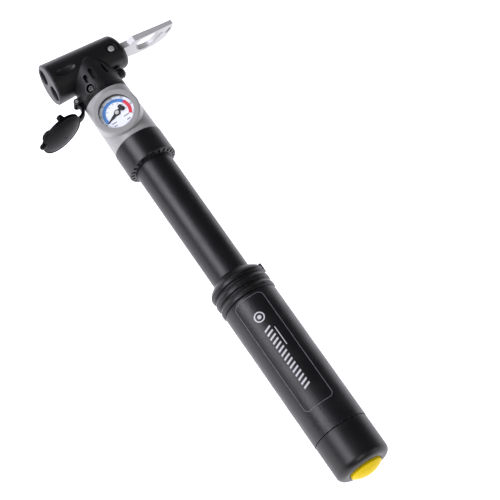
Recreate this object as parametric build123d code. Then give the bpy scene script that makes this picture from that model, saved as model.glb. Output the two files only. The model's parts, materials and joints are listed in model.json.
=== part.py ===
from build123d import *
import os
from math import asin, atan2, cos, degrees, hypot, radians, sin

# A telescopic bicycle pump lying on its back, in millimetres. +X runs along the barrel from the
# head to the handle's end, +Y towards the thumb lever, +Z up. The origin is on the barrel's axis,
# at the middle of the bare stretch where a frame clip holds it. The handle stands 75 mm short of
# fully pushed in when its joint is at zero.

os.makedirs("parts", exist_ok=True)

# ---- driving dimensions -------------------------------------------------------------------
# Barrel and the pieces in it
BARREL_R = 10.5
BORE_R = 9.3
RING_X = -39.0          # free end of the lock ring
LIP_X = 37.0            # front edge of the handle's rubber lip
BARREL_HEAD_X = -58.5   # barrel end inside the gauge housing
BARREL_TAIL_X = 73.0    # barrel end inside the handle
ROD_R = 3.0
PISTON_X = 28.0
PISTON_LONG = 7.0
ROD_END_X = 152.9
RUN = 0.05              # radial clearance of a running fit

# Housing, collar and gauge
COLLAR_R = 13.85
COLLAR_X = -54.5        # joint of collar and housing
RING_JOINT_X = -40.2    # joint of collar and lock ring
HOUSING_R = 13.0        # housing radius at the neck
HOUSING_R_TAIL = 13.6   # housing radius at the collar
NECK_X = -86.0          # joint of housing and neck
GAUGE_X = -70.2
GAUGE_ROLL = 15.0       # the gauge leans this many degrees from +Z towards the ports
BOSS_R = 12.8
BOSS_TOP = 15.2         # boss height above the barrel's axis
WINDOW_R = 9.6
DIAL_TOP = 12.2
DIAL_ZERO = -69.5       # needle's direction at zero, from +X, seen from above

# Head
HEAD_X = -109.5         # the head's axis crosses the barrel's here
PORT_Y = -22.0
LEVER_END_Y = 21.7
PORT_END_R = 11.8
LEVER_END_R = 9.8
END_SLANT = 11.0        # degrees that the lever end leans back on the -X side
END_ROUND = 3.2
PORT_SPACING = 11.6
PLATE = 1.0             # flange of the port face plate
POCKET_R = 4.6          # gasket pockets
PORT_R = 4.4            # holes in the face plate
SCHRADER_R = 3.95       # gasket bores
PRESTA_R = 3.05
GASKET_BACK_Y = -9.9
CORE_R = 9.0            # neck core under the cowl
STEM_R = 3.0            # air stem from housing to head

# Lever and plunger
PIN_X, PIN_Y, PIN_R = -107.5, 15.5, 1.8
CAM_HIGH = 4.3          # cam radius when locked
CAM_DROP = 1.5          # how much the cam falls over a quarter turn
HUB_HALF = 5.3
LEVER_HALF = 7.0
SLOT_HALF = 5.6

# Dust cap
HINGE = (-91.9, -15.3)  # strap pin
CAP_CENTRE = (-80.3, -31.3)
CAP_TURN = 11.4         # degrees from +X to the open cap's dome axis
CAP_R = 12.8

# Bleed button
BLEED_X = -96.3
BLEED_R = 2.9

# Handle
GRIP_R = 15.0
RIDGE_R = 15.6
SKIRT_R = 14.85         # the end cap is a little slimmer than the tube
SLEEVE_R = 13.0         # inside of the handle tube
LIP_WALL = 6.8          # front wall of the rubber lip, which stops on the barrel's flange
LIP_END_X = 54.6        # joint of rubber lip and handle tube
PARTING_X = 135.0       # joint of handle tube and end cap
CAP_END_X = 156.8
TIP_X = 160.5
PANEL_X = (55.8, 121.2)
PANEL_ROLL = 18.0       # the panel's middle leans this many degrees from +Z towards the ports
PANEL_HALF = 33.0       # half angle of the inlaid panel
PANEL_DEEP = 0.5

# Axes of the three sub-assemblies. A turned part is made along local +X and then placed.
HEAD = Pos(HEAD_X, 0, 0) * Rot(0, 0, 90)
GAUGE = Pos(GAUGE_X, 0, 0) * Rot(GAUGE_ROLL, 0, 0) * Rot(0, -90, 0)
CAP = Pos(*CAP_CENTRE, 0) * Rot(0, 0, CAP_TURN)


# ---- shape helpers ------------------------------------------------------------------------
def rod(start, end, radius, y=0.0, z=0.0):
    """A cylinder along X."""
    return Pos((start + end) / 2, y, z) * Rot(0, 90, 0) * Cylinder(radius, end - start)


def ring(start, end, outer, inner):
    """A tube along X."""
    return rod(start, end, outer) - rod(start - 1, end + 1, inner)


def turned(*outline):
    """A solid of revolution about X. The outline is edges in X and radius."""
    return revolve(make_face(Curve() + list(outline)), Axis.X, 360)


def lathe(*points):
    """A solid of revolution about X from a closed polygon of (x, radius) points."""
    return turned(Polyline(*points, close=True))


def dome_arc(x0, radius, apex):
    """An arc centred on the X axis, from (x0, radius) to the apex on the axis."""
    rise = apex - x0
    ball = (rise * rise + radius * radius) / (2 * rise)
    half = asin(radius / ball) / 2
    middle = (apex - ball + ball * cos(half), ball * sin(half))
    return ThreePointArc((x0, radius), middle, (apex, 0))


def o_ring(x, radius, wire):
    return Pos(x, 0, 0) * Rot(0, 90, 0) * Torus(radius, wire)


def coil(start, end, radius, wire, turns):
    """A helical spring along X, its wire ends inside start and end."""
    path = Helix((end - start - 2 * wire) / turns, end - start - 2 * wire, radius)
    section = Plane(origin=path @ 0, z_dir=path % 0) * Circle(wire)
    return Pos(start + wire, 0, 0) * Rot(0, 90, 0) * sweep(section, path=path)


def head_radius(y):
    """The head's outside radius, which tapers from the ports to the lever."""
    return PORT_END_R + (LEVER_END_R - PORT_END_R) * (y - PORT_Y) / (LEVER_END_Y - PORT_Y)


# ---- head ---------------------------------------------------------------------------------
def head_blank(extra=0.0):
    """The head's outer form with its slanted, rounded lever end, grown by extra."""
    front, far = PORT_Y + PLATE, LEVER_END_Y + 6
    cone = HEAD * lathe((front, 0), (front, head_radius(front) + extra),
                        (far, head_radius(far) + extra), (far, 0))
    beyond = Box(60, 20, 60, align=(Align.CENTER, Align.MIN, Align.CENTER))
    blank = cone - Pos(HEAD_X, LEVER_END_Y + extra, 0) * Rot(0, 0, END_SLANT) * beyond
    end_face = blank.faces().sort_by(Axis.Y)[-1]
    return fillet(end_face.edges(), END_ROUND)


def port_offsets():
    """Local y of the Schrader and the Presta port in the head's frame, where +y is world -X."""
    return PORT_SPACING / 2, -PORT_SPACING / 2


def lever_slot():
    """The fork that the lever swings in, open at the end and on the -X side."""
    y0, y1 = 10.2, LEVER_END_Y + 2
    open_side = Box(20, y1 - y0, 2 * SLOT_HALF, align=(Align.MAX, Align.MIN, Align.CENTER))
    near_side = (HEAD * rod(y0, y1, 8.4)) & Pos(HEAD_X, (y0 + y1) / 2, 0) * Box(
        20, y1 - y0, 2 * SLOT_HALF)
    return Pos(HEAD_X, y0, 0) * open_side + near_side


def thumb_dimple():
    """A shallow oval hollow on top of the head, beside the ports."""
    oval = scale(Sphere(1), by=(3.1, 6.4, 2.9))
    return Pos(-107.3, -12.6, 12.2) * Rot(0, 11, 0) * oval


def neck_screw_places():
    """The two cowl screws: one on top and its twin underneath, as (place, local +X outwards)."""
    angle = 90 + 34
    for turn in (angle, angle + 180):
        yield Pos(-90.9, 0, 0) * Rot(turn - 90, 0, 0) * Rot(0, -90, 0)


def bleed_place():
    """Local +X points out of the neck along +Y."""
    return Pos(BLEED_X, 0, 0) * Rot(0, 0, 90)


def head_body():
    body = head_blank() + rod(HEAD_X + 4, NECK_X - 1.6, CORE_R)
    front = PORT_Y + PLATE
    cuts = HEAD * rod(front - 1, front + 2.0, 10.8)                # face plate's spigot
    for side in port_offsets():
        cuts += HEAD * rod(front, -2.6, POCKET_R, y=side)           # gasket pockets
    cuts += HEAD * rod(-6.9, 4.0, 8.8)                              # plunger chamber
    cuts += HEAD * rod(3.0, 11.0, 3.2 + RUN)                        # plunger stem's guide
    cuts += HEAD * ring(6.0, 7.7, 4.75, 3.0)                        # its seal's groove
    cuts += lever_slot()
    cuts += Pos(PIN_X, PIN_Y, 0) * Cylinder(PIN_R, 30)
    cuts += Pos(PIN_X, PIN_Y, 9.0) * Cylinder(2.9, 4, align=(Align.CENTER,) * 2 + (Align.MIN,))
    cuts += rod(HEAD_X + 8, NECK_X, STEM_R + 0.02)                  # air stem
    cuts += ring(-91.8, -90.1, 4.45, 2.5)                           # its seal's groove
    cuts += bleed_place() * rod(2.0, 9.5, 1.3) + bleed_place() * rod(7.4, 20, 3.2)
    for place in neck_screw_places():
        cuts += place * rod(5.2, 9.5, 0.95)
    return body - cuts - thumb_dimple()


def port_face_plate():
    front = PORT_Y
    rim = PORT_END_R - 0.05
    plate = lathe((front, 0), (front, rim - 0.6), (front + 0.5, rim), (front + PLATE, rim),
                  (front + PLATE, 10.75), (front + 2.95, 10.75), (front + 2.95, 0))
    for side in port_offsets():
        plate -= rod(front - 1, front + 4, PORT_R, y=side)
        plate -= Pos(0, side, 0) * lathe((front - 0.1, 0), (front - 0.1, PORT_R + 0.5),
                                         (front + 0.4, PORT_R), (front + 0.4, 0))
    return HEAD * plate


def gasket(side, bore):
    """A rubber sleeve that the plunger squeezes onto the valve."""
    front = PORT_Y + 3.0
    sleeve = ring(front, GASKET_BACK_Y, POCKET_R - 0.05, bore)
    return HEAD * Pos(0, side, 0) * sleeve


def cam_plunger():
    """A disc on a stem, with two hollow legs that push the gaskets."""
    front, disc_front, disc_back = GASKET_BACK_Y + 0.15, -5.2, -2.4
    plunger = rod(disc_front, disc_back, 8.5)
    for side in port_offsets():
        plunger += rod(front, disc_front + 0.6, 4.35, y=side)
    plunger += rod(disc_back - 0.5, PIN_Y - CAM_HIGH - 0.2, 3.2)
    for side in port_offsets():
        plunger -= rod(front - 1, disc_back + 1, 2.0, y=side)
    return HEAD * plunger


def depressor_pin():
    """A spider in the Schrader leg with a point that opens the valve core."""
    side = port_offsets()[0]
    cross = rod(-8.6, -7.4, 2.0) & (Box(40, 0.9, 4) + Box(40, 4, 0.9))
    return HEAD * Pos(0, side, 0) * (cross + rod(GASKET_BACK_Y + 0.1, -8.0, 0.7))


def plunger_seal():
    return HEAD * o_ring(6.85, 3.97, 0.72)


# ---- lever --------------------------------------------------------------------------------
def cam_outline():
    """The cam falls evenly by CAM_DROP over the quarter turn that the lever makes."""
    points = []
    for step in range(7):
        angle = radians(-180 + 15 * step)
        radius = CAM_HIGH - CAM_DROP * (6 - step) / 6
        points.append((PIN_X + radius * cos(angle), PIN_Y + radius * sin(angle)))
    return points


def lever_plan():
    """The lever seen from above: cam hub, then a blade that thins towards the tip."""
    cam = cam_outline()
    shoulder = radians(35)
    near = (PIN_X + CAM_HIGH * cos(shoulder), PIN_Y + CAM_HIGH * sin(shoulder))
    side = (PIN_X + CAM_HIGH * cos(radians(-28)), PIN_Y + CAM_HIGH * sin(radians(-28)))
    front = [(-106.2, 23.4), (-106.1, 33.0), (-105.8, 43.0), (-105.7, 54.0)]
    back = [(-108.2, 54.0), (-108.8, 43.5), (-109.7, 32.6), (-110.1, 20.0)]
    return make_face(Curve() + [
        Spline(*cam),
        ThreePointArc(cam[-1], side, near),
        Line(near, front[0]),
        Spline(*front),
        Line(front[-1], back[0]),
        Spline(*back),
        Line(back[-1], cam[0]),
    ])


def lever_side():
    """The lever seen from +X, as y and z: a hub in the fork, then a wide blade that runs up to its tip."""
    ramp, full, tip = 26.2, 29.8, 52.5
    return make_face(Curve() + [
        Polyline((34.0, -6.4), (full, -6.1), (ramp, -HUB_HALF), (8, -HUB_HALF), (8, HUB_HALF),
                 (ramp, HUB_HALF), (full, LEVER_HALF), (tip, LEVER_HALF)),
        ThreePointArc((tip, LEVER_HALF), (tip + 0.8, 6.7), (tip + 1.0, 5.8)),
        Spline((tip + 1.0, 5.8), (52.6, 2.4), (49.6, -2.0), (45.4, -4.8), (40.0, -6.0), (34.0, -6.4)),
    ])


def lever_windows():
    """The tear-drop hole and the small slit near the tip, as y and z."""
    blunt, point = (30.4, 0.8), (46.9, 2.6)
    drop = make_face(Curve() + [
        Spline(blunt, (31.6, 3.9), (37.0, 5.6), (42.6, 5.2), point),
        Spline(point, (43.4, -0.4), (37.8, -4.1), (32.6, -3.5), blunt),
    ])
    slit = Pos(50.3, 2.3) * Rot(0, 0, 48) * SlotOverall(4.2, 1.2)
    return drop + slit


def lever():
    along_x = Plane(origin=(PIN_X, 0, 0), x_dir=(0, 1, 0), z_dir=(1, 0, 0))
    blank = Pos(0, 0, -10) * extrude(lever_plan(), 20)
    side = extrude(along_x * lever_side(), 12, both=True)
    windows = extrude(along_x * lever_windows(), 12, both=True)
    bore = Pos(PIN_X, PIN_Y, 0) * Cylinder(PIN_R + RUN, 20)
    return (blank & side) - windows - bore


def lever_pin():
    pin = Pos(PIN_X, PIN_Y, 0) * Cylinder(PIN_R, 19.0)
    return chamfer(pin.edges().filter_by(GeomType.CIRCLE), 0.35)


# ---- neck ---------------------------------------------------------------------------------
def neck_form(shrink=0.0):
    """The cowl's outside: it narrows from the housing towards the top of the head."""
    tail, nose = NECK_X - 1.6, HEAD_X - 4
    start = (tail, HOUSING_R - 0.05 - shrink)
    curve = Spline(start, (-92.0, 12.85 - shrink), (-98.0, 12.4 - shrink),
                   (-104.0, 11.65 - shrink), (nose, 9.8 - shrink))
    return turned(curve, Polyline((nose, 9.8 - shrink), (nose, 0), (tail, 0), start))


def vent_slots():
    """Three rounded slots through the top of the cowl: (turn from +Z towards +Y, x from, x to)."""
    slots = []
    for turn, x0, x1 in ((27.0, -101.4, -94.4), (-9.7, -101.5, -93.9), (-29.5, -99.8, -94.4)):
        slot = extrude(SlotOverall(x1 - x0, 2.3), 6)
        slots.append(Rot(-turn, 0, 0) * Pos((x0 + x1) / 2, 0, 9.4) * slot)
    return slots


def lug_ears():
    """Two ears that hold the strap pin."""
    x, y = HINGE
    standing = (Align.CENTER, Align.CENTER, Align.MIN)
    ears = []
    for z in (1.95, -3.15):
        web = Pos(x, (y - 11.5) / 2, z) * Box(3.2, -11.5 - y, 1.2, align=standing)
        eye = Pos(x, y, z) * Cylinder(1.6, 1.2, align=standing)
        ears.append(web + eye)
    return ears


def neck_cover():
    cowl = neck_form() + lug_ears()
    for place in neck_screw_places():
        cowl += place * rod(9.5, 13.1, 3.2)
    cowl -= head_blank(0.06)
    cowl -= rod(HEAD_X - 6, NECK_X, CORE_R + 0.03)
    cowl -= ring(-88.7, -88.25, 14, 12.4)                           # shadow line beside the joint
    cowl -= vent_slots()
    cowl -= bleed_place() * rod(8, 16, 3.2)
    cowl -= Pos(*HINGE, 0) * Cylinder(1.0, 10)
    for place in neck_screw_places():
        cowl -= place * rod(8, 12, 1.05) + place * rod(11.3, 14, 2.5)
    return max(cowl.solids(), key=lambda solid: solid.volume)


def neck_screws():
    """Pan-head screws with a cross slot."""
    screws = []
    for place in neck_screw_places():
        head = lathe((11.35, 0), (11.35, 2.2), (11.8, 2.2), (12.4, 1.4), (12.4, 0))
        cross = Pos(12.4, 0, 0) * (Box(0.9, 2.2, 0.5) + Box(0.9, 0.5, 2.2))
        screws.append(place * (head + rod(5.6, 11.5, 0.9) - cross))
    return screws


def neck_gasket():
    """A flat seal with a thin rib, in the joint of neck and housing."""
    x0, x1 = NECK_X - 1.55, NECK_X - 0.05
    middle = (x0 + x1) / 2
    outer, rib = HOUSING_R - 0.6, HOUSING_R - 0.05
    return lathe((x0, 4.0), (x0, outer), (middle - 0.2, outer), (middle - 0.2, rib),
                 (middle + 0.2, rib), (middle + 0.2, outer), (x1, outer), (x1, 4.0))


def air_stem():
    return ring(-100.8, -82.0, STEM_R, 1.5) - bleed_place() * rod(0, 6, 1.3)


def stem_seal():
    return o_ring(-90.95, 3.72, 0.7)


def bleed_button():
    """A domed button on a stem that opens the air passage."""
    dome = turned(
        Polyline((17.4, 0), (13.2, 0), (13.2, BLEED_R), (15.6, BLEED_R)),
        dome_arc(15.6, BLEED_R, 17.4),
    )
    return bleed_place() * (dome + rod(3.3, 13.4, 1.2))


def bleed_spring():
    return bleed_place() * coil(7.5, 13.1, 2.2, 0.3, 4)


# ---- gauge housing ------------------------------------------------------------------------
def gauge_housing():
    body = lathe((NECK_X, 0), (NECK_X, HOUSING_R - 0.3), (NECK_X + 0.3, HOUSING_R),
                 (COLLAR_X, HOUSING_R_TAIL), (COLLAR_X, 0))
    body += rod(COLLAR_X - 1, COLLAR_X + 6.5, 12.0)
    body += GAUGE * rod(2, BOSS_TOP - 2.6, BOSS_R)
    cuts = GAUGE * rod(3.2, BOSS_TOP, 10.4) + GAUGE * rod(BOSS_TOP - 2.6, BOSS_TOP, BOSS_R + 0.02)
    cuts += rod(BARREL_HEAD_X, COLLAR_X + 8, BARREL_R)
    cuts += rod(NECK_X - 1, BARREL_HEAD_X + 1, 1.5)
    cuts += rod(NECK_X - 1, -81.9, STEM_R)
    cuts += GAUGE * rod(0, 4, 1.6)
    return body - cuts


def gauge_bezel():
    """The boss's cap. It holds the lens, and its edge is rounded."""
    base, lip = BOSS_TOP - 2.55, BOSS_TOP - 0.4
    return GAUGE * turned(
        Polyline((BOSS_TOP, BOSS_R - 1.0), (BOSS_TOP, WINDOW_R), (lip, WINDOW_R), (lip, 10.35),
                 (base, 10.35), (base, BOSS_R), (BOSS_TOP - 1.0, BOSS_R)),
        ThreePointArc((BOSS_TOP - 1.0, BOSS_R), (BOSS_TOP - 0.29, BOSS_R - 0.29),
                      (BOSS_TOP, BOSS_R - 1.0)),
    )


def gauge_case():
    """A black cup with a ledge for the dial."""
    foot, ledge, top = 3.3, DIAL_TOP - 0.45, BOSS_TOP - 1.05
    cup = lathe((foot, 0), (foot, 10.3), (top, 10.3), (top, WINDOW_R), (ledge, WINDOW_R),
                (ledge, 8.9), (foot + 0.8, 8.9), (foot + 0.8, 0))
    return GAUGE * (cup - rod(0, 5, 1.4))


def gauge_dial():
    return GAUGE * ring(DIAL_TOP - 0.4, DIAL_TOP, WINDOW_R - 0.02, 0.7)


def gauge_lens():
    return GAUGE * rod(BOSS_TOP - 1.0, BOSS_TOP - 0.42, 10.3)


def bourdon_tube():
    """A flattened C-shaped tube that straightens with pressure."""
    arc = CenterArc((0, 0), 6.6, 300, 250)
    section = Plane(origin=arc @ 0, z_dir=arc % 0) * Ellipse(0.6, 1.5)
    tube = sweep(section, path=arc)
    return GAUGE * Pos(8.2, 0, 0) * Rot(0, 90, 0) * tube


def gauge_stem():
    """The brass stem that leads pressure into the Bourdon tube."""
    stem = ring(1.7, 4.2, 1.35, 0.6) + ring(4.15, 5.6, 2.6, 0.6)
    return GAUGE * stem


def needle_spindle():
    """The geared spindle's shaft and its cap above the needle."""
    return GAUGE * (rod(7.0, DIAL_TOP + 0.55, 0.5) + rod(DIAL_TOP + 0.5, DIAL_TOP + 0.8, 1.1))


def gauge_needle():
    """A tapered pointer with a round hub, a bead halfway and a two-lobed tail, drawn at zero."""
    pointer = make_face(Polyline((-3.4, 0.6), (0, 1.15), (7.4, 0.16), (7.4, -0.16), (0, -1.15),
                                 (-3.4, -0.6), close=True))
    outline = pointer + Circle(1.75) + Pos(3.3, 0) * Circle(0.85)
    for side in (-0.95, 0.95):
        outline += Pos(-3.6, side) * Circle(1.2)
    blank = extrude(outline, 0.22) - Cylinder(0.5, 2)
    upright = Pos(GAUGE_X, 0, 0) * Rot(GAUGE_ROLL, 0, 0)
    return upright * Pos(0, 0, DIAL_TOP + 0.25) * Rot(0, 0, DIAL_ZERO) * blank


# ---- collar, barrel and valve -------------------------------------------------------------
def collar():
    x0, x1 = COLLAR_X + 0.02, RING_JOINT_X
    return lathe((x0, 12.05), (x0, HOUSING_R_TAIL - 0.2), (x0 + 0.25, COLLAR_R - 0.03),
                 (x1 - 3, COLLAR_R), (x1, COLLAR_R), (x1, BARREL_R + 0.05),
                 (COLLAR_X + 6.6, BARREL_R + 0.05), (COLLAR_X + 6.6, 12.05))


def lock_ring():
    """A bevelled ring with a row of notches that a hook spanner fits."""
    notches, width = 24, 1.5
    x0, x1 = RING_JOINT_X + 0.02, RING_X
    body = lathe((x0, BARREL_R + 0.05), (x0, COLLAR_R), (x0 + 0.35, COLLAR_R),
                 (x1, 11.4), (x1, BARREL_R + 0.05))
    cutter = Pos(x0 + 0.45, 0, 12.9) * Box(4, width, 3.0, align=(Align.MIN,) + (Align.CENTER,) * 2)
    return body - [Rot(360 * n / notches, 0, 0) * cutter for n in range(notches)]


def barrel():
    return ring(BARREL_HEAD_X + 0.02, BARREL_TAIL_X, BARREL_R - 0.01, BORE_R)


def barrel_plug():
    """The barrel's head end: outlet seat, ball chamber and passage."""
    x0, x1 = BARREL_HEAD_X + 0.05, -51.0
    plug = rod(x0, x1, BORE_R - 0.01)
    return plug - rod(x0 - 1, -53.4, 2.0) - rod(x0, x1 + 1, 1.0)


def check_ball():
    return Pos(-54.6, 0, 0) * Sphere(1.55)


def check_spring():
    return coil(-58.3, -56.3, 1.45, 0.2, 3)


def barrel_bush():
    """The end bush: it guides the rod, and its flange guides the handle."""
    x0, end = 64.3, BARREL_TAIL_X
    bush = rod(x0, end + 0.05, BORE_R - 0.01) + rod(end + 0.02, end + 2.0, SLEEVE_R - RUN)
    return bush - rod(x0 - 1, end + 3, ROD_R + RUN)


# ---- handle -------------------------------------------------------------------------------
def piston():
    x0, x1 = PISTON_X, PISTON_X + PISTON_LONG
    groove = ring(x0 + 2.2, x0 + 4.6, 9.5, 7.0)
    return ring(x0, x1, BORE_R - 0.2, 2.0) - groove


def piston_seal():
    """A cup seal in the piston's groove."""
    x0 = PISTON_X + 2.3
    return lathe((x0, 7.1), (x0, BORE_R - RUN), (x0 + 1.0, BORE_R - 0.15), (x0 + 2.2, 8.9),
                 (x0 + 2.2, 7.1))


def piston_rod():
    """A rod with a threaded stud at the piston and a tapped hole at the handle's end."""
    stud = rod(PISTON_X - 3.0, PISTON_X + PISTON_LONG + 0.1, 1.98)
    shaft = rod(PISTON_X + PISTON_LONG, ROD_END_X, ROD_R)
    return stud + shaft - rod(ROD_END_X - 9, ROD_END_X + 1, 1.5)


def rod_nut():
    nut = extrude(RegularPolygon(3.6, 6), 2.6)
    return Pos(PISTON_X - 2.65, 0, 0) * Rot(0, 90, 0) * nut - rod(20, 30, 2.0)


def rounded_panel(grow, floor, top):
    """The panel's plate: four corners rounded, seen from above."""
    x0, x1 = PANEL_X[0] - grow, PANEL_X[1] + grow
    half_width = GRIP_R * sin(radians(PANEL_HALF)) + grow
    plan = RectangleRounded(x1 - x0, 2 * half_width, 2.6 + grow)
    column = Rot(PANEL_ROLL, 0, 0) * Pos((x0 + x1) / 2, 0, 0) * extrude(plan, 20)
    return ring(x0, x1, top, floor) & column


def grip_sleeve():
    """The handle tube, stepped at both ends for the rubber lip and the end cap."""
    x0, step, x1 = LIP_X + LIP_WALL + 0.05, LIP_END_X + 0.1, PARTING_X + 6.0
    tube = lathe((x0, SLEEVE_R), (x0, 13.9), (step, 13.9), (step, GRIP_R), (PARTING_X, GRIP_R),
                 (PARTING_X, 13.9), (x1, 13.9), (x1, SLEEVE_R))
    return tube - rounded_panel(0.05, GRIP_R - PANEL_DEEP - 0.05, GRIP_R + 2)


def grip_lip():
    """Rubber with three ridges, each with a fine line round it, and a cone that wipes the barrel."""
    inner, valley = BARREL_R + 0.1, GRIP_R - 0.6
    outline = [(LIP_X, inner), (LIP_X + 0.4, inner + 0.5), (LIP_X + 3.2, 14.6), (LIP_X + 4.3, 15.25)]
    for crest in (42.2, 47.0, 51.8):
        outline += [(crest - 0.25, RIDGE_R - 0.05), (crest, RIDGE_R - 0.3), (crest + 0.25, RIDGE_R),
                    (crest + 1.6, RIDGE_R - 0.15), (crest + 2.15, valley), (crest + 2.6, valley),
                    (crest + 3.0, GRIP_R - 0.05)]
    outline = outline[:-1]
    outline += [(LIP_END_X, valley), (LIP_END_X, 13.95), (LIP_X + LIP_WALL, 13.95), (LIP_X + LIP_WALL, inner)]
    far_side = Rot(-75, 0, 0) * Box(100, 5.5, 40, align=(Align.CENTER,) * 2 + (Align.MIN,))
    return lathe(*outline) + (ring(40.0, 43.8, 16.0, 14.0) & far_side)


def grip_panel():
    """The inlaid plate, just proud of the handle tube."""
    return rounded_panel(0, GRIP_R - PANEL_DEEP, GRIP_R + 0.05)


def end_cap():
    """The handle's end: a skirt over the tube, then a wall that holds the rod."""
    x0, end = PARTING_X + 0.4, CAP_END_X
    wall, floor, corner = ROD_END_X - 2.4, ROD_END_X + 0.3, 3.8
    middle = (end - corner * (1 - sin(radians(45))), SKIRT_R - corner * (1 - cos(radians(45))))
    return turned(
        Polyline((x0, 13.95), (x0, SKIRT_R), (end - corner, SKIRT_R)),
        ThreePointArc((end - corner, SKIRT_R), middle, (end, SKIRT_R - corner)),
        Polyline((end, SKIRT_R - corner), (end, 9.5), (end - 0.7, 8.8), (floor, 8.8), (floor, ROD_R),
                 (wall, ROD_R), (wall, SLEEVE_R), (x0 + 6.0, SLEEVE_R), (x0 + 6.0, 13.95), (x0, 13.95)),
    )


def rod_washer():
    return ring(ROD_END_X + 0.32, ROD_END_X + 1.1, 5.0, 1.7)


def rod_screw():
    seat = ROD_END_X + 1.12
    socket = Pos(seat + 0.9, 0, 0) * Rot(0, 90, 0) * extrude(RegularPolygon(1.45, 6), 2)
    return rod(seat, seat + 2.2, 3.2) + rod(seat - 9, seat + 0.1, 1.48) - socket


def end_plug():
    """The domed plug over the rod's screw."""
    seat, rim = CAP_END_X - 2.4, 8.75
    return turned(
        Polyline((TIP_X, 0), (seat + 2.0, 0), (seat + 2.0, 7.2), (seat, 7.2), (seat, rim),
                 (CAP_END_X + 1.0, rim)),
        dome_arc(CAP_END_X + 1.0, rim, TIP_X),
    )


# ---- dust cap -----------------------------------------------------------------------------
def dust_cap():
    """A domed rubber disc with a beaded rim, a plug for each port and a pull tab."""
    dome = turned(
        Polyline((3.3, 0), (0, 0), (0, 12.1), (-1.2, 12.1), (-1.2, CAP_R), (0.55, CAP_R)),
        ThreePointArc((0.55, CAP_R), (0.85, CAP_R - 0.35), (0.55, CAP_R - 0.7)),
        dome_arc(0.55, CAP_R - 0.7, 3.3),
    )
    schrader, presta = -PORT_SPACING / 2, PORT_SPACING / 2
    plug = lathe((0.2, 0), (0.2, 3.8), (-4.4, 3.8), (-5.4, 2.8), (-5.4, 0))
    arrow = lathe((0.2, 0), (0.2, 2.2), (-3.0, 1.4), (-6.3, 1.25), (-6.7, 2.0), (-8.9, 1.7),
                  (-9.2, 1.2), (-9.2, 0))
    tab = Rot(-10, 0, 0) * Pos(0.2, -CAP_R, 0) * scale(Sphere(1), by=(1.5, 2.3, 2.3))
    return CAP * (dome + Pos(0, schrader, 0) * plug + Pos(0, presta, 0) * arrow + tab)


def cap_strap():
    """The rubber strap: an eye on the pin, a curved band and a tail nub."""
    x, y = HINGE
    eye = Pos(x, y, 0) * Cylinder(1.6, 3.7)
    start, crown, end = (x + 0.9, y + 0.6), (x + 5.3, y + 0.85), (x + 8.75, y - 3.35)
    arc = ThreePointArc(start, crown, end)
    band = sweep(Plane(origin=arc @ 0, z_dir=arc % 0, x_dir=(0, 0, 1)) * Rectangle(3.7, 1.8), path=arc)
    aside, below = 2.0, -1.6
    nub = Pos(x + aside, y + below, 0) * Sphere(0.75)
    tail = Pos(x, y, 0) * Rot(0, 0, degrees(atan2(below, aside))) * rod(1.2, hypot(aside, below), 0.45)
    strap = eye + band + nub + tail - Pos(x, y, 0) * Cylinder(1.0 + RUN, 10)
    return strap - dust_cap()


def strap_pin():
    return Pos(*HINGE, 0) * Cylinder(1.0, 6.2)


# ---- all the pieces -----------------------------------------------------------------------
PARTS = {
    "head_body": head_body(),
    "port_face_plate": port_face_plate(),
    "schrader_gasket": gasket(port_offsets()[0], SCHRADER_R),
    "presta_gasket": gasket(port_offsets()[1], PRESTA_R),
    "cam_plunger": cam_plunger(),
    "depressor_pin": depressor_pin(),
    "plunger_seal": plunger_seal(),
    "lever": lever(),
    "lever_pin": lever_pin(),
    "neck_cover": neck_cover(),
    "neck_screws": neck_screws(),
    "neck_gasket": neck_gasket(),
    "air_stem": air_stem(),
    "stem_seal": stem_seal(),
    "bleed_button": bleed_button(),
    "bleed_spring": bleed_spring(),
    "gauge_housing": gauge_housing(),
    "gauge_bezel": gauge_bezel(),
    "gauge_case": gauge_case(),
    "gauge_dial": gauge_dial(),
    "gauge_lens": gauge_lens(),
    "gauge_needle": gauge_needle(),
    "needle_spindle": needle_spindle(),
    "bourdon_tube": bourdon_tube(),
    "gauge_stem": gauge_stem(),
    "collar": collar(),
    "lock_ring": lock_ring(),
    "barrel": barrel(),
    "barrel_plug": barrel_plug(),
    "check_ball": check_ball(),
    "check_spring": check_spring(),
    "barrel_bush": barrel_bush(),
    "piston": piston(),
    "piston_seal": piston_seal(),
    "piston_rod": piston_rod(),
    "rod_nut": rod_nut(),
    "grip_sleeve": grip_sleeve(),
    "grip_lip": grip_lip(),
    "grip_panel": grip_panel(),
    "end_cap": end_cap(),
    "rod_washer": rod_washer(),
    "rod_screw": rod_screw(),
    "end_plug": end_plug(),
    "dust_cap": dust_cap(),
    "cap_strap": cap_strap(),
    "strap_pin": strap_pin(),
}

for name, shape in PARTS.items():
    solids = shape if isinstance(shape, list) else shape.solids()
    whole = solids[0] if len(solids) == 1 else Compound(children=list(solids))
    whole.label = name
    export_step(whole, f"parts/{name}.step")
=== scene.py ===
import json
from math import cos, pi, radians, sin, sqrt

import bmesh
import bpy
from mathutils import Matrix, Vector


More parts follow.
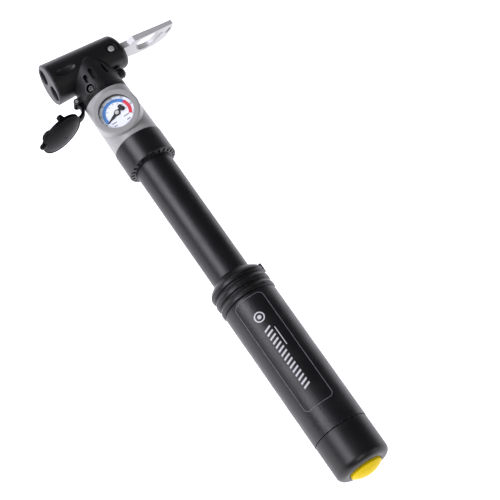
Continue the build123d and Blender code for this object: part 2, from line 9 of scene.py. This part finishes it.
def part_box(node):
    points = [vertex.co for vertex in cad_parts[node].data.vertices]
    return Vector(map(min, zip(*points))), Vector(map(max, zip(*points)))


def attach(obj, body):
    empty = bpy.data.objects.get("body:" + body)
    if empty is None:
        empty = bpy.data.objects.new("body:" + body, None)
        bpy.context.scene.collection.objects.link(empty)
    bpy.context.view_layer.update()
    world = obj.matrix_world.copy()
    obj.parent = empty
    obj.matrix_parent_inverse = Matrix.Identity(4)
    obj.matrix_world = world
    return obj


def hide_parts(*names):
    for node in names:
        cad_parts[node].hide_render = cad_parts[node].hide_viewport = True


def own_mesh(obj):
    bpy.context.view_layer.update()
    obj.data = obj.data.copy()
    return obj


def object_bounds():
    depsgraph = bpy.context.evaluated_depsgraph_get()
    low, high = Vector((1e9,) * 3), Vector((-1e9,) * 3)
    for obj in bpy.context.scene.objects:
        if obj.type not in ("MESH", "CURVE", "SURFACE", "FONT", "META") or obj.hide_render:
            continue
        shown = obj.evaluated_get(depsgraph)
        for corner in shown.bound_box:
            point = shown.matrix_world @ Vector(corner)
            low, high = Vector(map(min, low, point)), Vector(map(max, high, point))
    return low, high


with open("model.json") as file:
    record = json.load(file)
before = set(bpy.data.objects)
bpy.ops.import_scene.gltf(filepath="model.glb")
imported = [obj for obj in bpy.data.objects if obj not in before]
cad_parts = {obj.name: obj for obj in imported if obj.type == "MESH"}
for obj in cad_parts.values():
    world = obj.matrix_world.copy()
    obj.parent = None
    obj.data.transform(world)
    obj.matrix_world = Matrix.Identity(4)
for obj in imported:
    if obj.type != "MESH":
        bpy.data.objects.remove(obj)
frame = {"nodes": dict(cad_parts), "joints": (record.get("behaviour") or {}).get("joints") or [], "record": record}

# Looks for the bicycle mini pump. Metres, in the CAD frame: +X from the head to the handle's end,
# +Y towards the thumb lever, +Z up. The gauge's prints are placed from the needle's joint and the
# grip's line from the panel's box. The mark's places along X are measured from the frame's origin.

CAD_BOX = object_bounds()
MM = 0.001


def joint(name):
    return next(j for j in frame["joints"] if j["name"] == name)


def linear(red, green, blue):
    """A display colour, 0 to 255, as linear light."""
    return tuple(((c / 255 + 0.055) / 1.055) ** 2.4 if c > 10 else c / 3295
                 for c in (red, green, blue))


# ---- camera, lights, floor ----------------------------------------------------------------
CAMERA_AT = Vector((0.3468, -0.2485, 0.8228))
AZIMUTH, ELEVATION, ROLL = radians(50.24), radians(63.29), radians(7.48)
LENS, SENSOR = 129.3, 36.0  # millimetres
NEAREST, FARTHEST = 0.05, 20.0

ROOM_COLOUR, ROOM_STRENGTH = (0.95, 0.96, 1.0, 1), 0.09
BACKDROP_COLOUR, BACKDROP_STRENGTH = (0.93, 0.93, 0.94, 1), 1.0
FLOOR_SIDE = 6.0
FLOOR_GAP = 0.00005         # the floor lies this far under the pump
FLOOR_COLOUR, FLOOR_GLOW, FLOOR_GLOW_STRENGTH = (0.6, 0.6, 0.605, 1), (0.95, 0.94, 1.0, 1), 1.35
# name, direction from the pump, distance, size, power, colour
LAMPS = (
    ("key", (-0.36, -0.655, 0.665), 1.25, (1.1, 0.66), 13.5, (0.93, 0.91, 1.0)),
    ("fill", (0.62, -0.18, 0.76), 1.5, (0.6, 0.6), 4.5, (1.0, 0.99, 0.97)),
    ("rim", (0.60, 0.72, 0.35), 1.5, (0.6, 0.3), 2.0, (1.0, 1.0, 1.0)),
)


def direction(azimuth, elevation):
    return Vector((sin(azimuth) * cos(elevation), -cos(azimuth) * cos(elevation), sin(elevation)))


def make_camera():
    data = bpy.data.cameras.new("Camera")
    data.lens, data.sensor_width = LENS, SENSOR
    data.clip_start, data.clip_end = NEAREST, FARTHEST
    camera = bpy.data.objects.new("Camera", data)
    bpy.context.scene.collection.objects.link(camera)
    facing = (-direction(AZIMUTH, ELEVATION)).to_track_quat("-Z", "Y").to_matrix().to_4x4()
    camera.matrix_world = Matrix.Translation(CAMERA_AT) @ facing @ Matrix.Rotation(ROLL, 4, "Z")
    bpy.context.scene.camera = camera


def softbox(name, towards, distance, size, power, colour):
    """An area light that faces the pump from that direction."""
    data = bpy.data.lights.new(name, "AREA")
    data.shape, data.size, data.size_y = "RECTANGLE", size[0], size[1]
    data.energy, data.color = power, colour
    lamp = bpy.data.objects.new(name, data)
    bpy.context.scene.collection.objects.link(lamp)
    towards = Vector(towards).normalized()
    lamp.location = towards * distance
    lamp.rotation_euler = towards.to_track_quat("Z", "Y").to_euler()


def make_world():
    """A dim room that the camera itself sees as a pale backdrop."""
    world = bpy.data.worlds.new("World")
    bpy.context.scene.world = world
    world.use_nodes = True
    nodes, links = world.node_tree.nodes, world.node_tree.links
    nodes.clear()
    output = nodes.new("ShaderNodeOutputWorld")
    mix = nodes.new("ShaderNodeMixShader")
    room = nodes.new("ShaderNodeBackground")
    backdrop = nodes.new("ShaderNodeBackground")
    path = nodes.new("ShaderNodeLightPath")
    room.inputs["Color"].default_value = ROOM_COLOUR
    room.inputs["Strength"].default_value = ROOM_STRENGTH
    backdrop.inputs["Color"].default_value = BACKDROP_COLOUR
    backdrop.inputs["Strength"].default_value = BACKDROP_STRENGTH
    links.new(path.outputs["Is Camera Ray"], mix.inputs["Fac"])
    links.new(room.outputs[0], mix.inputs[1])
    links.new(backdrop.outputs[0], mix.inputs[2])
    links.new(mix.outputs[0], output.inputs["Surface"])


def make_floor():
    """A plain pale sheet, a little self-lit, as an overexposed studio table is."""
    bpy.ops.mesh.primitive_plane_add(size=FLOOR_SIDE, location=(0, 0, CAD_BOX[0].z - FLOOR_GAP))
    floor = bpy.context.object
    floor.name = "floor"
    paper = bpy.data.materials.new("floor_paper")
    paper.use_nodes = True
    shader = paper.node_tree.nodes["Principled BSDF"]
    shader.inputs["Base Color"].default_value = FLOOR_COLOUR
    shader.inputs["Roughness"].default_value = 0.9
    shader.inputs["Specular IOR Level"].default_value = 0.1
    shader.inputs["Emission Color"].default_value = FLOOR_GLOW
    shader.inputs["Emission Strength"].default_value = FLOOR_GLOW_STRENGTH
    floor.data.materials.append(paper)


bpy.context.scene.view_settings.view_transform = "Standard"
make_camera()
make_world()
make_floor()
for lamp_settings in LAMPS:
    softbox(*lamp_settings)


# ---- materials ----------------------------------------------------------------------------
class Graph:
    """Short ways to add the nodes that the materials share."""

    def __init__(self, name):
        self.material = bpy.data.materials.new(name)
        self.material.use_nodes = True
        self.tree = self.material.node_tree
        self.tree.nodes.clear()
        self.output = self.add("OutputMaterial")
        self.shader = self.add("BsdfPrincipled")
        self.link(self.shader.outputs[0], self.output.inputs["Surface"])
        self.place = self.add("TexCoord").outputs["Object"]

    def add(self, kind, **settings):
        node = self.tree.nodes.new("ShaderNode" + kind)
        for key, value in settings.items():
            setattr(node, key, value)
        return node

    def link(self, source, target):
        self.tree.links.new(source, target)

    def stretched(self, scale, spin=(0, 0, 0)):
        node = self.add("Mapping")
        node.inputs["Scale"].default_value = scale
        node.inputs["Rotation"].default_value = spin
        self.link(self.place, node.inputs["Vector"])
        return node.outputs[0]

    def noise(self, scale, detail, rough, where=None):
        node = self.add("TexNoise")
        node.inputs["Scale"].default_value = scale
        node.inputs["Detail"].default_value = detail
        node.inputs["Roughness"].default_value = rough
        self.link(where or self.place, node.inputs["Vector"])
        return node.outputs["Fac"]

    def cells(self, scale):
        node = self.add("TexVoronoi", feature="F1")
        node.inputs["Scale"].default_value = scale
        self.link(self.place, node.inputs["Vector"])
        return node.outputs["Distance"]

    def ranged(self, source, low, high, to_low=0.0, to_high=1.0):
        node = self.add("MapRange")
        self.link(source, node.inputs["Value"])
        limits = {"From Min": low, "From Max": high, "To Min": to_low, "To Max": to_high}
        for key, value in limits.items():
            node.inputs[key].default_value = value
        return node.outputs["Result"]

    def maths(self, operation, first, second):
        node = self.add("Math", operation=operation)
        for socket, value in zip(node.inputs, (first, second)):
            if isinstance(value, (int, float)):
                socket.default_value = value
            else:
                self.link(value, socket)
        return node.outputs[0]

    def mixed(self, share, first, second):
        node = self.add("Mix", data_type="RGBA")
        self.link(share, node.inputs["Factor"])
        for socket, value in ((node.inputs[6], first), (node.inputs[7], second)):
            if isinstance(value, tuple):
                socket.default_value = (*value, 1)
            else:
                self.link(value, socket)
        return node.outputs[2]

    def bumped(self, height, distance, normal):
        node = self.add("Bump")
        node.inputs["Distance"].default_value = distance
        node.inputs["Strength"].default_value = 1.0
        self.link(height, node.inputs["Height"])
        self.link(normal, node.inputs["Normal"])
        return node.outputs[0]

    def edges(self, radius):
        """1 along sharp edges, 0 on flat faces, and the rounded normal."""
        bevel = self.add("Bevel", samples=4)
        bevel.inputs["Radius"].default_value = radius
        flat = self.add("NewGeometry").outputs["Normal"]
        dot = self.add("VectorMath", operation="DOT_PRODUCT")
        self.link(bevel.outputs[0], dot.inputs[0])
        self.link(flat, dot.inputs[1])
        return self.ranged(dot.outputs["Value"], FACE_DOT, EDGE_DOT), bevel.outputs[0]


# how far the rounded normal agrees with the face's: on flat faces, and on sharp edges
FACE_DOT, EDGE_DOT = 0.985, 0.90
# noise scales, per metre
SCUFF_SCALE, SCUFF_PATCH_SCALE, DUST_SCALE = 1500, 60, 900
DUST_COLOUR = linear(150, 150, 148)
SCUFF_LIGHTER = 2.2
BROAD_SHARE = 0.7               # how much of the colour variation is broad, the rest being fine


def shaded(colour, factor):
    return tuple(min(c * factor, 1.0) for c in colour)


def finish(name, colour, *, rough, swing=0.06, tint=0.16, mottle=90, grain=2600, grain_height=0.012,
           wave=500, wave_height=0.006, edge=0.35, edge_wear_and_highlight=None, edge_wear_and_highlight_share=0.5, dust=0.0, scuff=0.0,
           scuff_along=(0.03, 1, 1), metallic=0.0, specular=0.5, coat=0.0, coat_rough=0.1,
           stretch=(1, 1, 1)):
    """A surface with broad and fine colour variation, grain, waviness, lighter edges (partly wear, partly a
    painted highlight), dust and scuffs.
    Heights and the edge radius are in millimetres."""
    g = Graph(name)
    where = g.stretched(stretch)
    broad = g.noise(mottle, 4, 0.6, where)
    fine = g.noise(grain, 2, 0.5, where)
    waves = g.noise(wave, 2, 0.5, where)
    blend = g.maths("ADD", g.maths("MULTIPLY", broad, BROAD_SHARE),
                    g.maths("MULTIPLY", fine, 1 - BROAD_SHARE))
    paint = g.mixed(g.ranged(blend, 0.35, 0.65), shaded(colour, 1 - tint), shaded(colour, 1 + tint))
    roughness = g.ranged(blend, 0.3, 0.7, rough - swing, rough + swing)
    mask, rounded = g.edges(edge * MM)
    # Lighter colour along the edges: partly wear, partly a painted highlight that stands in for the light the
    # edges catch.
    if edge_wear_and_highlight is not None:
        broken = g.ranged(g.noise(mottle * 6, 3, 0.7), 0.42, 0.62)
        worn_and_lit_edges = g.maths("MULTIPLY", g.maths("MULTIPLY", mask, broken), edge_wear_and_highlight_share)
        paint = g.mixed(worn_and_lit_edges, paint, edge_wear_and_highlight)
        roughness = g.maths("ADD", roughness, g.maths("MULTIPLY", worn_and_lit_edges, 0.12))
    if scuff:
        lines = g.ranged(g.noise(SCUFF_SCALE, 2, 0.6, g.stretched(scuff_along)), 0.60, 0.72)
        patch = g.ranged(g.noise(SCUFF_PATCH_SCALE, 3, 0.6), 0.45, 0.65)
        marks = g.maths("MULTIPLY", g.maths("MULTIPLY", lines, patch), scuff)
        paint = g.mixed(marks, paint, shaded(colour, SCUFF_LIGHTER))
        roughness = g.maths("ADD", roughness, g.maths("MULTIPLY", marks, -0.12))
    if dust:
        specks = g.ranged(g.cells(DUST_SCALE), 0.10, 0.04)
        settle = g.maths("MULTIPLY", g.maths("MULTIPLY", specks, g.ranged(broad, 0.5, 0.7)), dust)
        paint = g.mixed(settle, paint, DUST_COLOUR)
    height = g.bumped(fine, grain_height * MM, g.bumped(waves, wave_height * MM, rounded))
    s = g.shader.inputs
    g.link(paint, s["Base Color"])
    g.link(roughness, s["Roughness"])
    g.link(height, s["Normal"])
    s["Metallic"].default_value = metallic
    s["Specular IOR Level"].default_value = specular
    s["Coat Weight"].default_value = coat
    s["Coat Roughness"].default_value = coat_rough
    return g.material


def clear_lens(name):
    """Clear acrylic with faint wiping marks. Lamps shine straight through it."""
    g = Graph(name)
    smears = g.noise(700, 3, 0.6, g.stretched((1, 0.25, 1), (0, 0, 0.7)))
    s = g.shader.inputs
    g.link(g.ranged(smears, 0.45, 0.75, 0.0, 0.012), s["Roughness"])
    s["Base Color"].default_value = (0.985, 0.99, 0.99, 1)
    s["Transmission Weight"].default_value = 1.0
    s["IOR"].default_value = 1.49
    through = g.add("BsdfTransparent")
    mix = g.add("MixShader")
    g.link(g.add("LightPath").outputs["Is Shadow Ray"], mix.inputs[0])
    g.link(g.shader.outputs[0], mix.inputs[1])
    g.link(through.outputs[0], mix.inputs[2])
    g.link(mix.outputs[0], g.output.inputs["Surface"])
    return g.material


STEEL = linear(190, 190, 192)
# Lighter grey for the black plastics' edges: partly wear, partly a painted edge highlight.
BLACK_EDGE_WEAR_AND_HIGHLIGHT = linear(92, 90, 96)
MATERIALS = {
    # The head's lighter edges are partly a painted highlight. On the cowl the strong lighter edge is mostly a
    # painted highlight: the light line along the cowl's edge.
    "head_plastic": finish("head_plastic", linear(17, 17, 19), rough=0.40, edge_wear_and_highlight=BLACK_EDGE_WEAR_AND_HIGHLIGHT, edge_wear_and_highlight_share=0.35,
                           dust=0.35, scuff=0.25, grain_height=0.010),
    "cowl_plastic": finish("cowl_plastic", linear(18, 18, 20), rough=0.44, edge_wear_and_highlight=BLACK_EDGE_WEAR_AND_HIGHLIGHT, edge_wear_and_highlight_share=0.7,
                           dust=0.35, scuff=0.2, grain_height=0.012),
    "plate_plastic": finish("plate_plastic", linear(46, 46, 49), rough=0.46, edge_wear_and_highlight=linear(140, 139, 142),
                            edge_wear_and_highlight_share=0.5, dust=0.3, scuff=0.4, grain_height=0.008),
    "soft_rubber": finish("soft_rubber", linear(12, 12, 13), rough=0.40, swing=0.08, edge_wear_and_highlight=linear(96, 95, 100),
                          edge_wear_and_highlight_share=0.5, dust=0.4, specular=0.45, grain=1800, grain_height=0.02),
    # The cap's lighter edges are mostly a painted highlight: the light line along the flange's rim.
    "cap_rubber": finish("cap_rubber", linear(12, 12, 14), rough=0.42, swing=0.06, edge_wear_and_highlight=linear(84, 83, 88),
                         edge_wear_and_highlight_share=0.6, dust=0.4, specular=0.09, grain=2000, grain_height=0.014),
    "lever_metal": finish("lever_metal", linear(206, 206, 207), rough=0.40, swing=0.07, tint=0.05,
                          metallic=0.25, mottle=160, grain=2400, grain_height=0.008, wave=260,
                          wave_height=0.02, edge=0.5, edge_wear_and_highlight=linear(225, 225, 227), edge_wear_and_highlight_share=0.5,
                          scuff=0.3, scuff_along=(1, 0.05, 1)),
    "pin_steel": finish("pin_steel", linear(205, 204, 203), rough=0.34, tint=0.08, metallic=0.6, mottle=300,
                        edge_wear_and_highlight=linear(230, 229, 228), edge_wear_and_highlight_share=0.4, edge=0.2),
    "screw_steel": finish("screw_steel", linear(62, 61, 60), rough=0.34, tint=0.12, metallic=0.9, mottle=400,
                          edge_wear_and_highlight=linear(175, 173, 170), edge_wear_and_highlight_share=0.6, edge=0.2),
    "brass": finish("brass", linear(196, 160, 92), rough=0.32, tint=0.12, metallic=1.0, mottle=300,
                    edge_wear_and_highlight=linear(230, 200, 130), edge_wear_and_highlight_share=0.4, edge=0.2),
    "spring_steel": finish("spring_steel", linear(170, 170, 172), rough=0.28, metallic=1.0, mottle=300,
                           edge=0.1),
    "housing_plastic": finish("housing_plastic", linear(168, 168, 168), rough=0.36, swing=0.05, tint=0.03,
                              mottle=70, grain=3000, grain_height=0.006, edge_wear_and_highlight=linear(206, 206, 206),
                              edge_wear_and_highlight_share=0.4, dust=0.15, specular=0.36, coat=0.05, coat_rough=0.25,
                              edge=0.5),
    "case_black": finish("case_black", linear(22, 22, 24), rough=0.35, edge=0.2),
    "dial_white": finish("dial_white", linear(222, 226, 234), rough=0.42, swing=0.03, tint=0.012, mottle=200,
                         grain_height=0.003, edge=0.1),
    "lens": clear_lens("lens"),
    "needle_black": finish("needle_black", linear(20, 20, 21), rough=0.35, edge=0.1),
    "collar_black": finish("collar_black", linear(19, 19, 21), rough=0.36, edge_wear_and_highlight=linear(120, 119, 124),
                           edge_wear_and_highlight_share=0.5, dust=0.3, scuff=0.4, grain_height=0.008),
    "barrel_metal": finish("barrel_metal", linear(17, 17, 20), rough=0.39, swing=0.07, edge_wear_and_highlight=STEEL,
                           edge_wear_and_highlight_share=0.3, dust=0.25, scuff=0.5, grain=1300, grain_height=0.06,
                           stretch=(0.7, 1, 1)),
    "inner_plastic": finish("inner_plastic", linear(205, 203, 196), rough=0.42, tint=0.05, edge=0.3),
    "grip_metal": finish("grip_metal", linear(20, 19, 23), rough=0.37, swing=0.08, edge_wear_and_highlight=linear(120, 119, 126),
                         edge_wear_and_highlight_share=0.4, dust=0.3, scuff=0.35, grain=1200, grain_height=0.09),
    "panel_dark": finish("panel_dark", linear(18, 18, 21), rough=0.40, swing=0.08, edge_wear_and_highlight=linear(120, 119, 126),
                         edge_wear_and_highlight_share=0.4, dust=0.3, scuff=0.25, grain=1200, grain_height=0.09),
    "end_cap_plastic": finish("end_cap_plastic", linear(16, 16, 18), rough=0.40, edge_wear_and_highlight=linear(95, 94, 99),
                              edge_wear_and_highlight_share=0.4, dust=0.3, scuff=0.3, grain_height=0.008),
    "yellow_plastic": finish("yellow_plastic", linear(250, 216, 2), rough=0.42, swing=0.05, tint=0.05,
                             edge_wear_and_highlight=linear(240, 214, 60), edge_wear_and_highlight_share=0.3, specular=0.08,
                             grain_height=0.004, dust=0.1),
}
PRINTS = {
    "print_blue": finish("print_blue", linear(52, 118, 186), rough=0.4, tint=0.06, mottle=400, edge=0.05),
    "print_red": finish("print_red", linear(200, 30, 56), rough=0.4, tint=0.06, mottle=400, edge=0.05),
    "print_grey": finish("print_grey", linear(74, 78, 90), rough=0.45, tint=0.08, mottle=400, edge=0.05),
    "print_white": finish("print_white", linear(222, 222, 228), rough=0.45, tint=0.05, mottle=300,
                          edge=0.05),
    # The bead's light grey is a painted highlight: it stands in for the light that the panel's edge catches.
    "bead_highlight_grey": finish("bead_highlight_grey", linear(114, 113, 120), rough=0.4, tint=0.12, mottle=300, edge=0.1),
}

for part in frame["record"]["subparts"]:
    carried = frame["nodes"][part["node"]]
    look = MATERIALS[part["material_slot"]]
    if not carried.material_slots:
        carried.data.materials.append(look)
    for held in carried.material_slots:
        held.material = look


# ---- meshes for the printed and raised details ----------------------------------------------
def piece(name, points, faces, look, body):
    """A mesh piece that rides on a body."""
    mesh = bpy.data.meshes.new(name)
    mesh.from_pydata([tuple(p) for p in points], [], faces)
    mesh.materials.append(look)
    obj = bpy.data.objects.new(name, mesh)
    bpy.context.scene.collection.objects.link(obj)
    b = bmesh.new()
    b.from_mesh(mesh)
    bmesh.ops.recalc_face_normals(b, faces=b.faces)
    b.to_mesh(mesh)
    b.free()
    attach(obj, body)
    return obj


def plates(grids, skin):
    """Closed thin plates from grids of flat points. skin(u, v, level) gives the point in space,
    with level 0 for the underside and 1 for the top."""
    points, faces = [], []
    for rows in grids:
        start, tall, wide = len(points), len(rows), len(rows[0])
        for level in (0, 1):
            points += [skin(u, v, level) for row in rows for u, v in row]

        def at(level, i, j):
            return start + (level * tall + i) * wide + j

        for i in range(tall - 1):
            for j in range(wide - 1):
                for level in (0, 1):
                    faces.append((at(level, i, j), at(level, i + 1, j),
                                  at(level, i + 1, j + 1), at(level, i, j + 1)))
        border = [(i, 0) for i in range(tall)] + [(tall - 1, j) for j in range(1, wide)]
        border += [(i, wide - 1) for i in range(tall - 2, -1, -1)]
        border += [(0, j) for j in range(wide - 2, 0, -1)]
        for (i, j), (k, m) in zip(border, border[1:] + border[:1]):
            faces.append((at(0, i, j), at(1, i, j), at(1, k, m), at(0, k, m)))
    return points, faces


def band(inner, outer, start, end, steps):
    """A grid for a stretch of ring, in polar steps."""
    turns = [start + (end - start) * k / steps for k in range(steps + 1)]
    return [[(r * cos(a), r * sin(a)) for a in turns] for r in (inner, outer)]


# ---- gauge ----------------------------------------------------------------------------------
turning = joint("needle_turn")
DIAL_UP = Vector(turning["axis"]).normalized()
DIAL_CENTRE = Vector(turning["pos_m"])
DIAL_ACROSS = DIAL_UP.cross(Vector((1, 0, 0)))
ZERO, SWEEP = radians(-70), radians(-236)   # where the scale starts, and how far it turns
BLUE_SHARE = 168 / 236                      # the rest of the arc is red
ARC = (6.2 * MM, 8.0 * MM)
INNER_TICKS, INNER_TICK_COUNT = (5.95 * MM, 6.22 * MM), 24
OUTER_TICKS, OUTER_TICK_COUNT = (7.98 * MM, 8.2 * MM), 12
TICK_HALF = 0.012                           # radians
OUTER_NUMBERS, OUTER_SIZE = 8.75 * MM, 1.25 * MM
INNER_NUMBERS, INNER_SIZE = 5.35 * MM, 1.1 * MM
FONT_SHARE = 1.35                           # the font's size for a digit of a given height
DIGIT_HALF, DIGIT_LIFT = 0.01 * MM, 0.015 * MM
INNER_STEPS = 8.2                           # inner numbers that would fill the whole scale
PRINT_SUNK, PRINT_THICK = 0.01 * MM, 0.04 * MM
# middle along X, middle across and half length of each dash, in millimetres
DASHES = ((3.9, 3.3, 1.5), (6.4, 3.3, 1.0), (4.1, -4.2, 1.4), (5.9, -4.4, 0.9))
DASH_HALF = 0.24


def on_dial(u, v, height):
    """A point over the dial: u along +X, v towards the lever, height above its face."""
    return DIAL_CENTRE + Vector((1, 0, 0)) * u + DIAL_ACROSS * v + DIAL_UP * height


def dial_skin(u, v, level):
    return on_dial(u, v, PRINT_THICK * level - PRINT_SUNK)


def dial_print(name, grids, look):
    points, faces = plates(grids, dial_skin)
    return piece(name, points, faces, PRINTS[look], "pump_body")


def dial_turn(share):
    return ZERO + SWEEP * share


def numerals():
    """Scale numbers round the arc, from Blender's own font."""
    rows = []
    for index in range(7):
        rows.append((str(index * 20), dial_turn(index / 6 * 0.985 + 0.005), OUTER_NUMBERS, OUTER_SIZE))
    for index in range(1, 8):
        rows.append((str(index), dial_turn(index / INNER_STEPS), INNER_NUMBERS, INNER_SIZE))
    points, faces = [], []
    for text, turn, radius, size in rows:
        curve = bpy.data.curves.new("digits", "FONT")
        curve.body, curve.size = text, size * FONT_SHARE
        curve.align_x, curve.align_y = "CENTER", "CENTER"
        curve.extrude, curve.resolution_u = DIGIT_HALF, 3
        holder = bpy.data.objects.new("digits", curve)
        bpy.context.scene.collection.objects.link(holder)
        bpy.context.view_layer.update()
        mesh = bpy.data.meshes.new_from_object(holder)
        spin = Matrix.Rotation(turn - pi / 2, 3, "Z")
        start = len(points)
        for vertex in mesh.vertices:
            flat = spin @ vertex.co
            points.append(on_dial(flat.x + radius * cos(turn), flat.y + radius * sin(turn),
                                  flat.z + DIGIT_LIFT))
        faces += [tuple(start + i for i in face.vertices) for face in mesh.polygons]
        bpy.data.objects.remove(holder)
        bpy.data.curves.remove(curve)
        bpy.data.meshes.remove(mesh)
    return points, faces


dial_print("dial_arc_blue", [band(*ARC, dial_turn(0), dial_turn(BLUE_SHARE), 60)], "print_blue")
dial_print("dial_arc_red", [band(*ARC, dial_turn(BLUE_SHARE), dial_turn(1), 24)], "print_red")
ticks = []
for radii, count in ((INNER_TICKS, INNER_TICK_COUNT), (OUTER_TICKS, OUTER_TICK_COUNT)):
    for k in range(count + 1):
        middle = dial_turn(k / count)
        ticks.append(band(*radii, middle - TICK_HALF, middle + TICK_HALF, 1))
dial_print("dial_ticks", ticks, "print_grey")


def dial_dashes():
    """Plain dashes where a gauge names its units."""
    grids = []
    for u, v, half in DASHES:
        grids.append([[((u + side) * MM, (v - half) * MM), ((u + side) * MM, (v + half) * MM)]
                      for side in (-DASH_HALF, DASH_HALF)])
    return grids


dial_print("dial_dashes", dial_dashes(), "print_grey")
number_points, number_faces = numerals()
piece("dial_numbers", number_points, number_faces, PRINTS["print_grey"], "pump_body")


# ---- grip panel -----------------------------------------------------------------------------
PANEL_LOW, PANEL_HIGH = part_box("grip_panel")
PANEL_R = PANEL_HIGH.z
PANEL_ROLL = radians(18)        # the panel's middle leans this far from +Z towards the ports
ROLL_UP = Vector((0, -sin(PANEL_ROLL), cos(PANEL_ROLL)))
ROLL_ACROSS = ROLL_UP.cross(Vector((1, 0, 0)))
PANEL_MID = (PANEL_LOW.x + PANEL_HIGH.x) / 2
PANEL_HALF_LONG = (PANEL_HIGH.x - PANEL_LOW.x) / 2
PANEL_HALF_WIDE = 15.0 * MM * sin(radians(33))
PANEL_CORNER = 2.6 * MM
BEAD_R, BEAD_SIDES, BEAD_SUNK = 0.2 * MM, 8, 0.08 * MM
BEAD_STEP = 1.2 * MM            # longest step along the panel's straight sides
MARK_RING_X = 67.6 * MM
BAR_X, BAR_PITCH, BAR_WIDTH, BAR_COUNT = 75.2 * MM, 2.5 * MM, 1.05 * MM, 15
BAR_LOW, BAR_HIGH, BAR_LEAN = -2.0 * MM, 1.9 * MM, -0.35
RULE_X, RULE_STEP, RULE_POINTS, RULE_SIDES = 76 * MM, 1.0 * MM, 12, (3.3 * MM, 3.75 * MM)


def on_grip(u, v, radius):
    """A point on the grip: u along +X, v sideways as seen from above the panel."""
    return Vector((u, 0, 0)) + ROLL_ACROSS * v + ROLL_UP * sqrt(radius * radius - v * v)


def rounded_outline(half_long, half_wide, corner, steps):
    """Points round a rounded rectangle, centred on the panel."""
    path = []
    for sx, sy, first in ((1, 1, 0), (-1, 1, 90), (-1, -1, 180), (1, -1, 270)):
        for k in range(steps + 1):
            a = radians(first + 90 * k / steps)
            path.append((sx * (half_long - corner) + corner * cos(a),
                         sy * (half_wide - corner) + corner * sin(a)))
    return path


def panel_bead():
    """The thin raised line round the panel. Its light grey is a painted highlight of the panel's edge."""
    outline = rounded_outline(PANEL_HALF_LONG, PANEL_HALF_WIDE, PANEL_CORNER, 8)
    path = []
    for (ax, ay), (bx, by) in zip(outline, outline[1:] + outline[:1]):
        count = max(1, int(max(abs(bx - ax), abs(by - ay)) / BEAD_STEP))
        path += [(ax + (bx - ax) * k / count, ay + (by - ay) * k / count) for k in range(count)]
    spine = [on_grip(PANEL_MID + x, y, PANEL_R - BEAD_SUNK) for x, y in path]
    points, faces, total = [], [], len(spine)
    for k, point in enumerate(spine):
        along = (spine[(k + 1) % total] - spine[k - 1]).normalized()
        out = Vector((0, point.y, point.z)).normalized()
        side = along.cross(out).normalized()
        for s in range(BEAD_SIDES):
            a = 2 * pi * s / BEAD_SIDES
            points.append(point + (side * cos(a) + out * sin(a)) * BEAD_R)
    for k in range(total):
        here, there = k * BEAD_SIDES, (k + 1) % total * BEAD_SIDES
        for s in range(BEAD_SIDES):
            after = (s + 1) % BEAD_SIDES
            faces.append((here + s, here + after, there + after, there + s))
    return points, faces


bead_points, bead_faces = panel_bead()
bead = piece("panel_bead", bead_points, bead_faces, PRINTS["bead_highlight_grey"], "handle")
bead.data.shade_smooth()


def mark_skin(u, v, level):
    return on_grip(u, v, PANEL_R + PRINT_THICK * level - PRINT_SUNK)


def slanted(x0, x1, y0, y1, lean):
    """A grid for a leaning bar."""
    rows = []
    for k in range(4):
        y = y0 + (y1 - y0) * k / 3
        shift = lean * (y - y0)
        rows.append([(x0 + shift, y), (x1 + shift, y)])
    return rows


def grip_mark():
    """A plain printed mark: a ring round a dot, a row of leaning bars and a thin rule. It says nothing."""
    grids = []
    for inner, outer in ((2.15, 2.85), (0.05, 1.1)):
        ring = band(inner * MM, outer * MM, 0, 2 * pi, 40)
        grids.append([[(MARK_RING_X + u, v) for u, v in row] for row in ring])
    for k in range(BAR_COUNT):
        left = BAR_X + BAR_PITCH * k
        grids.append(slanted(left, left + BAR_WIDTH, BAR_LOW, BAR_HIGH, BAR_LEAN))
    grids.append([[(RULE_X + RULE_STEP * k, y) for k in range(RULE_POINTS)] for y in RULE_SIDES])
    return grids


mark_points, mark_faces = plates(grip_mark(), mark_skin)
piece("grip_mark", mark_points, mark_faces, PRINTS["print_white"], "handle")


# ---- release spring: a copy of the CAD's coil, which rides on the pump body -----------------------
coil = bpy.data.objects.new("release_spring", frame["nodes"]["bleed_spring"].data.copy())
bpy.context.scene.collection.objects.link(coil)
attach(coil, "pump_body")
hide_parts("bleed_spring")
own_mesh(coil)
